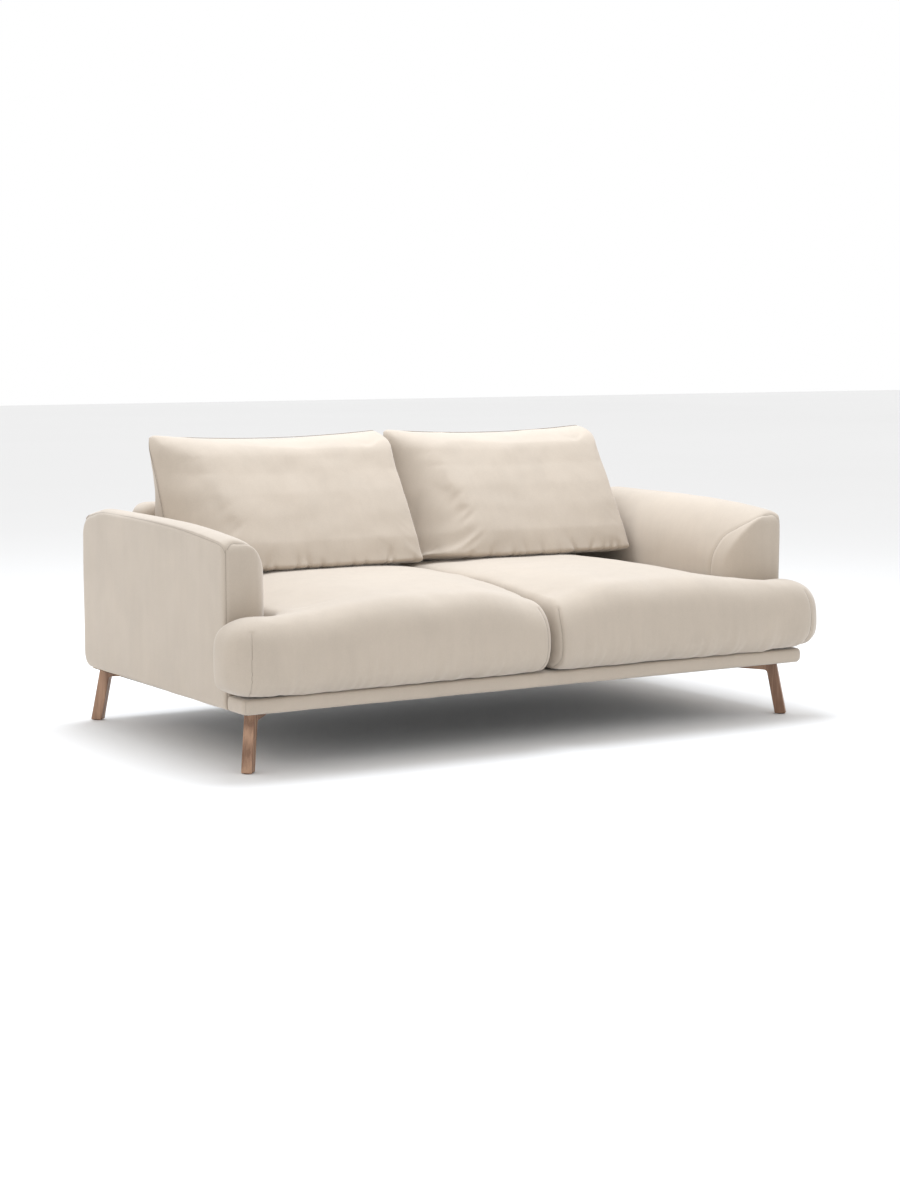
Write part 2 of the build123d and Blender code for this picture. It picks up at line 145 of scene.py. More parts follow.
# %% Helpers for outlines
def outline(corners, radii, steps=10):
    """A closed anticlockwise line through the corners, each rounded to its own radius."""
    corners = np.array(corners, float)
    line = []
    for i, corner in enumerate(corners):
        back = corners[i - 1] - corner
        on = corners[(i + 1) % len(corners)] - corner
        back, on = back / np.linalg.norm(back), on / np.linalg.norm(on)
        half = math.acos(np.clip(back @ on, -1, 1)) / 2
        reach = radii[i] / math.tan(half)
        start, end = corner + back * reach, corner + on * reach
        if radii[i] < 1e-4:
            line.append(corner)
            continue
        middle = corner + (back + on) / np.linalg.norm(back + on) * radii[i] / math.sin(half)
        for t in np.linspace(0, 1, steps + 1):
            spoke = (start - middle) * (1 - t) + (end - middle) * t
            line.append(middle + spoke / np.linalg.norm(spoke) * radii[i])
    return np.array(line)


def outside(line, points):
    """How far each 2-D point lies outside the closed line; inside is negative."""
    best = np.full(len(points), 1e9)
    crossings = np.zeros(len(points), int)
    x, y = points[:, 0], points[:, 1]
    for (ax, ay), (bx, by) in zip(line, np.roll(line, -1, axis=0)):
        ex, ey = bx - ax, by - ay
        t = np.clip(((x - ax) * ex + (y - ay) * ey) / max(ex * ex + ey * ey, 1e-18), 0, 1)
        best = np.minimum(best, (x - ax - t * ex) ** 2 + (y - ay - t * ey) ** 2)
        if ay != by:
            spans = (y >= min(ay, by)) & (y < max(ay, by))
            crossings += spans & (x < ax + (y - ay) / ey * ex)
    return np.sqrt(best) * np.where(crossings % 2, -1, 1)


# %% [markdown]
# Foam under cloth never has a sharp corner. Where two outlines meet, the edge is a part of a
# superellipse, a curve between a square and a circle. Its width and height are set apart, so
# that a seat is full at its front and tight where it meets an arm. A plain mesh is then drawn
# onto the shape in a few steps along the slope of the distance.

# %% Helpers for soft edges
def soft_meet(pairs, power=2.4):
    """Join (distance, radius) pairs so that the edge between them is soft."""
    total = sum(np.maximum(distance / radius + 1, 0) ** power for distance, radius in pairs)
    smallest = np.minimum.reduce([np.broadcast_to(radius, total.shape) for _, radius in pairs])
    return (total ** (1 / power) - 1) * smallest


def draw_onto(piece, shape, rounds=7, step=1e-4):
    """Move the piece's points to where shape(points) is 0."""
    table = points_of(piece)
    for _ in range(rounds):
        value = shape(table)
        slope = np.stack([(shape(table + step * axis) - value) / step for axis in np.eye(3)], 1)
        size = np.maximum((slope ** 2).sum(1), 0.05)
        move = -(value / size)[:, None] * slope
        length = np.linalg.norm(move, axis=1, keepdims=True)
        table = table + move * np.minimum(1, 0.03 / np.maximum(length, 1e-9))
    put_points(piece, table)
    return piece


def blank(name, line, low, high, voxel, axes=(0, 1, 2)):
    """A prism on the closed line from low to high, as an even mesh of small squares."""
    count = len(line)
    table = np.zeros((2 * count, 3))
    table[:, axes[:2]] = np.concatenate([line, line])
    table[:count, axes[2]], table[count:, axes[2]] = low, high
    faces = [list(range(count))[::-1], list(range(count, 2 * count))]
    faces += [(i, (i + 1) % count, count + (i + 1) % count, count + i) for i in range(count)]
    return changed(new_piece(name, table, faces), "REMESH", mode="VOXEL", voxel_size=voxel)


# %% [markdown]
# Filling pushes a sewn cover outwards, and the cloth answers with a crown in the middle and
# small folds by the seams. The cloth simulation does that: air pressure stands for the filling,
# gravity is off, and no point may move further than a cap.

# %% Helper for the cloth simulation
def inflate(piece, pressure=4.0, frames=20, cap=0.012, held=None):
    """Fill the piece like a cushion; cap is one length, or one for each point."""
    start = points_of(piece)
    cloth = piece.modifiers.new("Filling", "CLOTH")
    settings = cloth.settings
    settings.quality = 4
    settings.mass = 0.3
    settings.tension_stiffness = settings.compression_stiffness = 15
    settings.shear_stiffness = 5
    settings.bending_stiffness = 0.5
    settings.use_pressure = True
    settings.uniform_pressure_force = pressure
    settings.effector_weights.gravity = 0
    cloth.collision_settings.use_collision = False
    cloth.collision_settings.use_self_collision = False
    cloth.point_cache.frame_start, cloth.point_cache.frame_end = 1, frames
    if held is not None:
        group = piece.vertex_groups.new(name="Seams")
        for index in np.flatnonzero(held):
            group.add([int(index)], 1.0, "REPLACE")
        settings.vertex_group_mass = "Seams"
    scene = bpy.context.scene
    for number in range(1, frames + 1):
        scene.frame_set(number)
    settle_modifiers(piece)
    scene.frame_set(1)
    move = points_of(piece) - start
    length = np.linalg.norm(move, axis=1, keepdims=True)
    put_points(piece, start + move * np.minimum(1, cap / np.maximum(length, 1e-9)))
    print(piece.name, "filled: points moved", round(float(length.mean()) * 1000, 1), "mm,",
          "at most", round(float(length.max()) * 1000, 1), "mm")
    return piece


def finish_cloth(piece, seed, lump=0.0015, size=0.09):
    """Smooth the piece, give it the faint unevenness of foam under cloth, and subdivide."""
    changed(piece, "SMOOTH", iterations=3, factor=0.5)
    changed(piece, "SUBSURF", levels=1, render_levels=1)
    table, normal = points_of(piece), points_of(piece, "normal")
    put_points(piece, table + normal * (ripple(table, size, seed) * lump)[:, None])
    piece.data.polygons.foreach_set("use_smooth", [True] * len(piece.data.polygons))
    print(piece.name, "has", sum(len(p.vertices) - 2 for p in piece.data.polygons), "triangles")
    return piece


# %% [markdown]
# The arm is one roll of foam on a timber post. Its outer side is a flat panel with a crisp
# seam; its top falls away inwards in a long shoulder; and its inner front corner is turned in a
# wide curve, so that the seat cushion can wrap round it. Three outlines hold all that: the
# plan, the front section, and the side view. The section is stretched to the arm's height at
# each place, because the arm is higher at the rear.

# %% Shape the arms
arm_front_top = 0.641                       # height of the crown at the front of the arm
arm_rise = 4.5                              # how soon the crown reaches its full height
rear_drop, rear_run = 0.030, 0.150          # how the crown falls to the rear corner
shoulder_across, shoulder_down = 0.150, 0.205
edge_across = 0.075                         # the outer top edge is a low curve over the panel
arm_plan = outline([(arm_inner, arm_front), (arm_outer, arm_front), (arm_outer, rear),
                    (arm_inner, rear)], [0.110, 0.008, 0.020, 0.016])
arm_floor = underside - 0.007               # the cover hides the lower edge of the side rail
arm_side = outline([(arm_front, arm_floor), (rear, arm_floor), (rear, arm_top - rear_drop),
                    (rear - rear_run, arm_top), (arm_front, arm_top)],
                   [0.006, 0.052, 0.080, 0.250, 0.046])


def arm_height(y):
    """Height of the arm's crown along the sofa's depth."""
    along = np.clip((y - arm_front) / (rear - arm_front), 0, 1)
    return arm_front_top + (arm_top - arm_front_top) * (1 - (1 - along) ** arm_rise)


def edge_drop(y):
    """How far the outer seam lies below the crown: more towards the front."""
    return 0.010 + 0.016 * (1 - np.clip((y - arm_front) / 0.8, 0, 1))


def arm_shape(p):
    raised = underside + (p[:, 2] - underside) * (arm_top - underside) \
        / (arm_height(p[:, 1]) - underside)
    plan = outside(arm_plan, p[:, :2])
    side = outside(arm_side, np.stack([p[:, 1], raised], 1))
    over = raised - arm_top
    inner, outer = arm_inner - p[:, 0], p[:, 0] - arm_outer
    shoulder = soft_meet([(inner, shoulder_across), (over, shoulder_down)], 2.15)
    edge = soft_meet([(outer, edge_across), (over, edge_drop(p[:, 1]))], 2)
    floor = soft_meet([(arm_floor - p[:, 2], 0.004), (outer, 0.004)], 2)
    return soft_meet([(np.maximum.reduce([plan, shoulder, edge, floor]), 0.03), (side, 0.03)], 4)


def make_arm(side, seed):
    arm = blank(side + "_arm_upholstery", arm_plan, arm_floor, arm_top, 0.0095)
    draw_onto(arm, arm_shape)
    finish_cloth(arm, seed, 0.0012, 0.12)
    if side == "left":
        table = points_of(arm)
        table[:, 0] *= -1
        put_points(arm, table)
        arm.data.flip_normals()
    return arm


arms = {side: make_arm(side, seed) for side, seed in (("right", 1), ("left", 2))}

# %% [markdown]
# A seat cushion is T-shaped: it fills the deck between the arms, and its front widens into a
# wing that wraps round the arm. The front and the wing are nearly half round, while the sides
# that meet an arm, the back or the other cushion are only eased. The top is full in the middle
# and drops towards the front and towards each edge.

# %% Shape the seat cushions
deck = seat_low.z
wing_rear = arm_front - 0.003
seat_side = arm_inner - 0.003
nose_end, nose = seat_high.x + 0.005, seat_low.y - 0.005
wing_top = 0.429
seat_shift = 0.012                          # the left cushion has pushed the right one along
seat_plan = outline(
    [(seat_low.x, nose), (nose_end, nose), (nose_end, wing_rear),
     (seat_side, wing_rear), (seat_side, seat_high.y), (seat_low.x, seat_high.y)],
    [0.030, 0.070, 0.045, 0.107, 0.030, 0.030])
crown_line = ([seat_low.y, -0.45, -0.396, -0.288, -0.12, 0.45],
              [0.452, 0.460, 0.465, 0.471, 0.474, 0.464])
edge_line = ([seat_low.y, -0.524, -0.449, -0.396, -0.288, -0.12, 0.45],
             [0.408, 0.416, 0.424, 0.432, 0.446, 0.460, 0.460])


def seat_top(x, y):
    """Height that the top would have with square edges."""
    inward = np.minimum(x - seat_low.x, np.where(y > wing_rear, seat_side, 1.2) - x)
    middle = ease(inward / 0.22)
    height = np.interp(y, *edge_line) * (1 - middle) + np.interp(y, *crown_line) * middle
    wing = ease((x - 0.50) / 0.33)
    return height * (1 - wing) + np.minimum(height, wing_top) * wing


def seat_shape(p):
    x, y, z = p.T
    top = seat_top(x, y)
    ahead = ease((wing_rear + 0.04 - y) / 0.13)                  # 1 in the front strip
    upper, lower = 0.045 + 0.070 * ahead, 0.022 + 0.060 * ahead
    half = (top - deck) / 2
    tall = np.where(z > top - half, z - top, deck - z)
    reach = np.where(z > top - half, upper, lower)
    gap, front = (seat_low.x - x, 0.032), (nose - y, 0.100)
    between = soft_meet([(tall, reach), gap, front, (x - seat_side, 0.035),
                         (y - seat_high.y, 0.045)], 2.5)
    strip = soft_meet([(tall, reach), gap, front, (x - nose_end, 0.122),
                       (y - wing_rear, 0.050)], 2.5)
    nearer = np.clip(0.5 + (strip - between) / 0.07, 0, 1)
    notch = np.exp(-((x - seat_side) ** 2 + (y - wing_rear) ** 2) / 0.06 ** 2)
    notch = notch * np.clip((top - 0.015 - z) / 0.06, 0, 1)      # none on the top itself
    return np.minimum(strip, between) - 0.045 * nearer * (1 - nearer) * notch


def make_seat(side, seed):
    cushion = blank(side + "_seat_cushion", seat_plan, deck, 0.45, 0.0118)
    draw_onto(cushion, seat_shape)
    changed(cushion, "SMOOTH", iterations=3, factor=0.5)
    inflate(cushion, cap=0.007)
    finish_cloth(cushion, seed, 0.0018, 0.13)
    table, normal = points_of(cushion), points_of(cushion, "normal")
    low_front = ease((0.36 - table[:, 2]) / 0.10) * ease((-0.50 - table[:, 1]) / 0.04)
    folds = ripple(table * (1, 0.1, 0.22), 0.030, seed + 20) * 0.0040
    table += normal * (folds * low_front)[:, None]
    table[:, 2] = np.maximum(table[:, 2], deck + 0.0005)
    table[:, 0] = np.maximum(table[:, 0], seat_low.x - 0.001)
    table[:, 1] = np.maximum(table[:, 1], nose - 0.006)
    shift = seat_shift if side == "right" else -seat_shift
    table[:, 0] += shift * (1 - ease((table[:, 0] - seat_low.x) / 0.5))
    behind = table[:, 1] > arm_front + 0.10
    table[behind, 0] = np.minimum(table[behind, 0], arm_inner - 0.001)
    if side == "left":
        table[:, 0] *= -1
        put_points(cushion, table)
        cushion.data.flip_normals()
    else:
        put_points(cushion, table)
    return cushion


seats = {side: make_seat(side, seed) for side, seed in (("right", 3), ("left", 4))}

# %% [markdown]
# A back cushion is a pillow: two panels sewn together along one seam that runs all the way
# round, with no side strip. It is full where it sits on the seat and thin towards its seam, its
# top corners stand up as small ears, and the seam sags between them. Two curved grids that
# share their rim make that shape, and the rim keeps the knife edge that a remesh would lose.
# The filling has settled away from one side, where the simulation may crease the cloth more,
# and short folds rise from the bottom seam.

# %% Shape the back cushions
seam_foot = (0.286, 0.470)                  # y and z of the seam at the bottom
seam_head = (0.452, 0.884)                  # and at the top corners
head_sag = 0.017
side_pull = 0.010
pillow_shift = 0.014                        # the left cushion leans over the middle
depth_places = [0, 0.06, 0.22, 0.41, 0.57, 0.72, 0.9, 1]     # from the bottom to the top
front_depths = [0.156, 0.160, 0.160, 0.148, 0.134, 0.115, 0.099, 0.092]


def puckers(table, normal, left, right, seed):
    """Depth of the short folds that rise from the bottom seam where the panel is gathered."""
    chance = np.random.default_rng(seed)
    above = table[:, 2] - seam_foot[1]
    facing = np.clip(-normal[:, 1], 0, 1)
    depth = np.zeros(len(table))
    x = left + 0.05
    while x < right - 0.05:
        lean, length = chance.uniform(-0.5, 0.5), chance.uniform(0.018, 0.045)
        width = chance.uniform(0.0045, 0.007)
        fold = np.exp(-((table[:, 0] - x - lean * above) / (width + 0.15 * above)) ** 2)
        depth += chance.uniform(0.005, 0.011) * fold * np.exp(-(above / length) ** 2)
        x += chance.uniform(0.025, 0.075)
    return depth * facing


def make_pillow(side, seed, across=112, up=68):
    tight = -1 if side == "right" else 1        # the side where the filling is thinner
    left = pillow_low.x + (pillow_shift if side == "right" else -pillow_shift)
    right = pillow_high.x
    u = np.linspace(-1, 1, across + 1)
    u = 0.55 * u + 0.45 * np.sin(u * math.pi / 2)
    v = np.linspace(0, 1, up + 1)
    v = 0.45 * v + 0.55 * (1 - np.cos(v * math.pi)) / 2
    U, V = np.meshgrid(u, v, indexing="ij")
    pull = side_pull * (1 - (2 * V - 1) ** 2)
    x = (left + right) / 2 + U * ((right - left) / 2 - pull)
    y = seam_foot[0] + (seam_head[0] - seam_foot[0]) * V
    z = seam_foot[1] + (seam_head[1] - seam_foot[1]) * V - head_sag * (1 - U ** 2) * V ** 3
    z = z - 0.003 * (1 - V) ** 4
    corner = np.clip((np.abs(U) - 0.93) / 0.07, 0, 1) * np.clip((V - 0.88) / 0.12, 0, 1)
    x = x - np.sign(U) * 0.012 * corner ** 1.5
    z = z - 0.009 * corner ** 1.5
    full_side = (1 - np.clip((np.abs(U) - 0.945) / 0.055, 0, 1) ** 2.4) ** 0.46
    thin_side = (1 - np.clip((np.abs(U) - 0.45) / 0.55, 0, 1) ** 2.6) ** 0.72
    sides = np.where(U * tight > 0, thin_side, full_side)
    foot = (1 - np.clip(1 - V / 0.06, 0, 1) ** 2.6) ** 0.46
    head = (1 - np.clip((V - 0.84) / 0.16, 0, 1) ** 2.4) ** 0.46
    front = np.interp(V, depth_places, front_depths)
    behind = np.interp(V, [0, 0.3, 0.6, 1], [0.165, 0.125, 0.070, 0.045])
    table, faces = [], []
    index = {}
    for face_side, depth in ((-1, front * sides * foot * head),
                             (1, behind * full_side * foot * head)):
        for i in range(across + 1):
            for j in range(up + 1):
                rim = i in (0, across) or j in (0, up)
                if rim and (i, j, -1) in index:
                    index[i, j, face_side] = index[i, j, -1]
                    continue
                index[i, j, face_side] = len(table)
                table.append((x[i, j], y[i, j] + face_side * depth[i, j], z[i, j]))
        for i in range(across):
            for j in range(up):
                quad = [index[a, b, face_side] for a, b in
                        ((i, j), (i + 1, j), (i + 1, j + 1), (i, j + 1))]
                faces.append(quad if face_side < 0 else quad[::-1])
    table = np.array(table)
    table[:, 1] = np.minimum(table[:, 1], back_low.y - 0.004)
    cushion = new_piece(side + "_back_cushion", table, faces)
    rim = np.zeros(len(table), bool)
    rim[[n for (i, j, _), n in index.items() if i in (0, across) or j in (0, up)]] = True
    away = (table[:, 0] - left) if side == "right" else (right - table[:, 0])
    slack = 0.003 + (0.008 if side == "right" else 0.003) * (1 - ease(away / 0.38))
    inflate(cushion, cap=slack[:, None], held=rim)
    shaped = points_of(cushion)
    changed(cushion, "SUBSURF", levels=1, render_levels=1)
    table, normal = points_of(cushion), points_of(cushion, "normal")
    table += normal * (ripple(table, 0.12, seed) * 0.0030)[:, None]
    table -= normal * puckers(table, normal, left, right, seed)[:, None]
    table[:, 1] = np.minimum(table[:, 1], back_low.y - 0.002)
    table[:, 2] = np.maximum(table[:, 2], pillow_low.z - 0.002)
    table[:, 0] = np.maximum(table[:, 0], left - 0.001)
    cushion.data.polygons.foreach_set("use_smooth", [True] * len(cushion.data.polygons))
    flip = -1 if side == "left" else 1
    table[:, 0] *= flip
    put_points(cushion, table)
    if side == "left":
        cushion.data.flip_normals()
    walk = [(i, 0) for i in range(across)] + [(across, j) for j in range(up)]
    walk += [(i, up) for i in range(across, 0, -1)] + [(0, j) for j in range(up, 0, -1)]
    rim_line = np.array([shaped[index[i, j, -1]] for i, j in (*walk, walk[0])])
    rims[side] = rim_line * (flip, 1, 1)
    return cushion


rims = {}
pillows = {side: make_pillow(side, seed) for side, seed in (("right", 5), ("left", 6))}

# %% [markdown]
# The back frame stands between the arms and is wrapped in one piece of padded cloth with
# rounded top ends. The front rail is a slim padded beam whose cover is mitred at both corners.

# %% Shape the back and the front rail
back_section = outline([(back_low.x, underside), (back_high.x, underside),
                        (back_high.x, back_high.z), (back_low.x, back_high.z)],
                       [0.006, 0.006, 0.042, 0.042])


def back_shape(p):
    across = outside(back_section, p[:, [0, 2]])
    return soft_meet([(across, 0.045), (back_low.y - p[:, 1], 0.045), (p[:, 1] - rear, 0.04)], 2.2)


back = blank("back_upholstery", back_section, back_low.y, rear, 0.0125, (0, 2, 1))
finish_cloth(draw_onto(back, back_shape), 7, 0.0015, 0.15)

rail_plan = outline([(rail_low.x, rail_low.y), (rail_high.x, rail_low.y),
                     (rail_high.x, arm_front - 0.001), (rail_low.x, arm_front - 0.001)],
                    [0.022, 0.022, 0.004, 0.004])


def rail_shape(p):
    plan = outside(rail_plan, p[:, :2])
    middle = (rail_low.z + rail_high.z) / 2
    tall = np.abs(p[:, 2] - middle) - (rail_high.z - rail_low.z) / 2
    return soft_meet([(plan, 0.014), (tall, 0.014)], 2.2)


rail = blank("front_rail_upholstery", rail_plan, rail_low.z, rail_high.z, 0.0066)
finish_cloth(draw_onto(rail, rail_shape), 8, 0.0008, 0.07)
table = points_of(rail)
table[:, 2] = np.minimum(table[:, 2], deck - 0.001)
put_points(rail, table)

# %% [markdown]
# A seam is where two panels of cloth are pulled together, so it lies in a shallow valley. Each
# seam is first a few given points. They are joined by a smooth line, and the line is laid on
# the piece. Then the cover is sunk along it, and the same line is kept for the sewn edge.

# %% Helpers for seams
def through(points, step=0.004):
    """A smooth line through the points, with a place every few millimetres."""
    points = np.array(points, float)
    padded_points = np.vstack([2 * points[0] - points[1], points, 2 * points[-1] - points[-2]])
    line = []
    for i in range(len(points) - 1):
        a, b, c, d = padded_points[i:i + 4]
        count = max(2, int(np.linalg.norm(c - b) / step))
        for t in np.arange(count) / count:
            line.append(0.5 * (2 * b + (c - a) * t + (2 * a - 5 * b + 4 * c - d) * t ** 2
                               + (3 * b - a - 3 * c + d) * t ** 3))
    return np.array(line + [points[-1]])


def lay_on(piece, line, sink=0.0):
    """The line moved to the nearest places of the piece's surface."""
    tree = BVHTree.FromPolygons([v.co for v in piece.data.vertices],
                                [p.vertices for p in piece.data.polygons])
    laid = []
    for point in line:
        place, normal, _, _ = tree.find_nearest(Vector(point))
        laid.append(place - normal * sink)
    return np.array(laid)


def sink_along(piece, lines, depth=0.0022, width=0.0055):
    """Press a valley into the piece along the lines."""
    table, normal = points_of(piece), points_of(piece, "normal")
    places = np.vstack(lines)
    tree = KDTree(len(places))
    for index, place in enumerate(places):
        tree.insert(place, index)
    tree.balance()
    reach = 3 * width
    low, high = places.min(0) - reach, places.max(0) + reach
    for index in np.flatnonzero(((table > low) & (table < high)).all(1)):
        away = tree.find(table[index])[2]
        if away < reach:
            table[index] -= normal[index] * depth * math.exp(-(away / width) ** 2)
    put_points(piece, table)


def mirror_points(points, side):
    return [(x if side == "right" else -x, y, z) for x, y, z in points]


# %% [markdown]
# These are the seams of this sofa. On each arm one runs round the flat outer panel, and one
# curves over the top and down the inner side, where the front facing is set in. The seat
# cushions have upright seams at the ends of their front panel. The back cushions are sewn round
# their rim. The cover of the front rail is mitred at its corners.

# %% Lay the seams
def panel_edge(y):
    return (arm_outer, y, arm_height(np.array(y)) - edge_drop(np.array(y)))


arm_seams = [
    [(arm_outer, rear - 0.002, underside + 0.07), (arm_outer, rear - 0.001, 0.40),
     (arm_outer, rear - 0.003, 0.560), (arm_outer, rear - 0.014, 0.600),
     (arm_outer, rear - 0.038, 0.628), (arm_outer, rear - 0.085, 0.645),
     *[panel_edge(y) for y in (0.38, 0.15, -0.10, -0.30)],
     (arm_outer, arm_front + 0.035, 0.621), (arm_outer, arm_front + 0.006, 0.602)],
    [(arm_outer - 0.002, arm_front, 0.612), (arm_outer - 0.001, arm_front, 0.45),
     (arm_outer - 0.001, arm_front, 0.30), (arm_outer - 0.001, arm_front, underside + 0.006)],
    [(0.968, -0.418, 0.612), (0.950, -0.409, 0.629), (0.925, -0.408, 0.627),
     (0.8785, -0.390, 0.611), (0.8557, -0.351, 0.585), (0.8404, -0.308, 0.5585),
     (0.8297, -0.284, 0.5285), (0.8229, -0.268, 0.497), (0.820, -0.260, 0.466),
     (0.820, -0.257, 0.430), (0.820, -0.256, 0.36), (0.820, -0.256, underside + 0.02)]]
seat_seams = [
    [(0.968, -0.560, 0.402), (0.975, -0.572, 0.33), (0.972, -0.562, 0.255),
     (0.966, -0.530, 0.2135)],
    [(0.030, -0.545, 0.405), (0.020, -0.580, 0.31), (0.024, -0.570, 0.25),
     (0.030, -0.520, 0.2135)]]
rail_seams = [[(0.972, -0.524, 0.214), (0.9745, -0.5265, 0.19), (0.972, -0.524, 0.169)]]
laid = {"frame": [], "right_seat_cushion": [], "left_seat_cushion": [],
        "right_back_cushion": [], "left_back_cushion": []}
for side in ("right", "left"):
    for piece, seams, body, depth in ((arms[side], arm_seams, "frame", 0.0024),
                                      (seats[side], seat_seams, side + "_seat_cushion", 0.003),
                                      (rail, rail_seams, "frame", 0.0015)):
        lines = [lay_on(piece, through(mirror_points(seam, side))) for seam in seams]
        sink_along(piece, lines, depth)
        laid[body] += [lay_on(piece, line, 0.0003) for line in lines]
    laid[side + "_back_cushion"].append(rims[side])
back_seams = [[(-0.79, rear, 0.60), (-0.775, rear, 0.632), (-0.74, rear, 0.642), (0, rear, 0.642),
               (0.74, rear, 0.642), (0.775, rear, 0.632), (0.79, rear, 0.60)],
              [(-0.79, rear, 0.60), (-0.79, rear, 0.4), (-0.79, rear, underside + 0.01)],
              [(0.79, rear, 0.60), (0.79, rear, 0.4), (0.79, rear, underside + 0.01)]]
lines = [lay_on(back, through(seam)) for seam in back_seams]
sink_along(back, lines)
laid["frame"] += [lay_on(back, line, 0.0003) for line in lines]
print("seams laid:", {body: len(lines) for body, lines in laid.items()})

# %% [markdown]
# Geometry Nodes suit what repeats along a line. The first tree turns each seam line into the
# thin rolled edge of a sewn seam, with a small stitch every few millimetres. The second sets
# one small part again and again along a line: the teeth of a zip, or the staples that hold the
# cloth under the sofa.

# %% Helpers for Geometry Nodes
class Growth:
    """A Geometry Nodes tree whose sizes are named inputs."""

    def __init__(self, name, **sizes):
        self.tree = bpy.data.node_groups.new(name, "GeometryNodeTree")
        face = self.tree.interface
        face.new_socket("Geometry", in_out="INPUT", socket_type="NodeSocketGeometry")
        face.new_socket("Geometry", in_out="OUTPUT", socket_type="NodeSocketGeometry")
        self.keys = {}
        for key, value in sizes.items():
            kind = "NodeSocketFloat" if isinstance(value, float) else "NodeSocketMaterial"
            socket = face.new_socket(key, in_out="INPUT", socket_type=kind)
            self.keys[key] = socket.identifier
            if kind == "NodeSocketFloat":
                socket.default_value = value
        self.start = self.tree.nodes.new("NodeGroupInput")
        self.end = self.tree.nodes.new("NodeGroupOutput")

    def node(self, kind, settings=None, **inputs):
        made = self.tree.nodes.new(kind)
        for key, value in (settings or {}).items():
            setattr(made, key, value)
        for key, value in inputs.items():
            socket = made.inputs[key.replace("_", " ")]
            if isinstance(value, bpy.types.NodeSocket):
                self.tree.links.new(value, socket)
            else:
                socket.default_value = value
        return made

    def size(self, key):
        return self.start.outputs[key]

    def finish(self, geometry):
        realized = self.node("GeometryNodeRealizeInstances", Geometry=geometry)
        painted = self.node("GeometryNodeSetMaterial", Geometry=realized.outputs[0],
                            Material=self.size("Material"))
        self.tree.links.new(painted.outputs[0], self.end.inputs[0])
        return self

    def grow(self, name, lines, **values):
        """Run the tree on the lines and give back a plain mesh object."""
        points, edges = [], []
        for line in lines:
            edges += [(len(points) + i, len(points) + i + 1) for i in range(len(line) - 1)]
            points += [tuple(p) for p in line]
        piece = new_piece(name, points, [], edges)
        modifier = piece.modifiers.new("Growth", "NODES")
        modifier.node_group = self.tree
        for key, value in values.items():
            modifier[self.keys[key]] = value
        settle_modifiers(piece)
        piece.data.polygons.foreach_set("use_smooth", [True] * len(piece.data.polygons))
        print(name, "grown with", len(piece.data.polygons), "faces")
        return piece


sewn = Growth("Sewn_seam", Edge_radius=0.0009, Stitch_pitch=0.0045, Stitch_length=0.0026,
              Stitch_radius=0.00035, Material=None)
path = sewn.node("GeometryNodeMeshToCurve", Mesh=sewn.start.outputs[0]).outputs[0]
ring = sewn.node("GeometryNodeCurvePrimitiveCircle", Resolution=6,
                 Radius=sewn.size("Edge_radius")).outputs[0]
roll = sewn.node("GeometryNodeCurveToMesh", Curve=path, Profile_Curve=ring, Fill_Caps=True)
spots = sewn.node("GeometryNodeCurveToPoints", {"mode": "LENGTH"}, Curve=path,
                  Length=sewn.size("Stitch_pitch"))
thread = sewn.node("GeometryNodeMeshCylinder", Vertices=5, Radius=sewn.size("Stitch_radius"),
                   Depth=sewn.size("Stitch_length")).outputs[0]
lifted = sewn.node("GeometryNodeTransform", Geometry=thread, Translation=(0.0011, 0, 0)).outputs[0]
stitches = sewn.node("GeometryNodeInstanceOnPoints", Points=spots.outputs["Points"],
                     Instance=lifted, Rotation=spots.outputs["Rotation"]).outputs[0]
both = sewn.node("GeometryNodeJoinGeometry")
for part in (stitches, roll.outputs[0]):
    sewn.tree.links.new(part, both.inputs[0])
sewn.finish(both.outputs[0])

row_of = Growth("Row_of_parts", Pitch=0.01, Across=0.004, Along=0.001, High=0.001, Material=None)
path = row_of.node("GeometryNodeMeshToCurve", Mesh=row_of.start.outputs[0]).outputs[0]
spots = row_of.node("GeometryNodeCurveToPoints", {"mode": "LENGTH"}, Curve=path,
                    Length=row_of.size("Pitch"))
box_size = row_of.node("ShaderNodeCombineXYZ", X=row_of.size("High"), Y=row_of.size("Across"),
                       Z=row_of.size("Along")).outputs[0]
block = row_of.node("GeometryNodeMeshCube", Size=box_size).outputs[0]
row_of.finish(row_of.node("GeometryNodeInstanceOnPoints", Points=spots.outputs["Points"],
                          Instance=block, Rotation=spots.outputs["Rotation"]).outputs[0])
print("trees ready:", sewn.tree.name, row_of.tree.name)

# %% [markdown]
# A finish is a small tree of nodes. Two short classes keep the trees readable: one wraps a
# socket so that sums can be written as sums, and one makes any other node from its type, its
# settings and the values or links of its sockets.

# %% Helpers for finishes
class Value:
    """A number that changes over a surface; arithmetic on it adds Math nodes."""

    def __init__(self, finish, socket):
        self.finish, self.socket = finish, socket

    def maths(self, operation, *terms):
        return self.finish.node("ShaderNodeMath", {"operation": operation}, dict(enumerate(terms)))

    def __add__(self, other):
        return self.maths("ADD", self, other)

    def __sub__(self, other):
        return self.maths("SUBTRACT", self, other)

    def __rsub__(self, other):
        return self.maths("SUBTRACT", other, self)

    def __mul__(self, other):
        return self.maths("MULTIPLY", self, other)

    __radd__ = __add__
    __rmul__ = __mul__


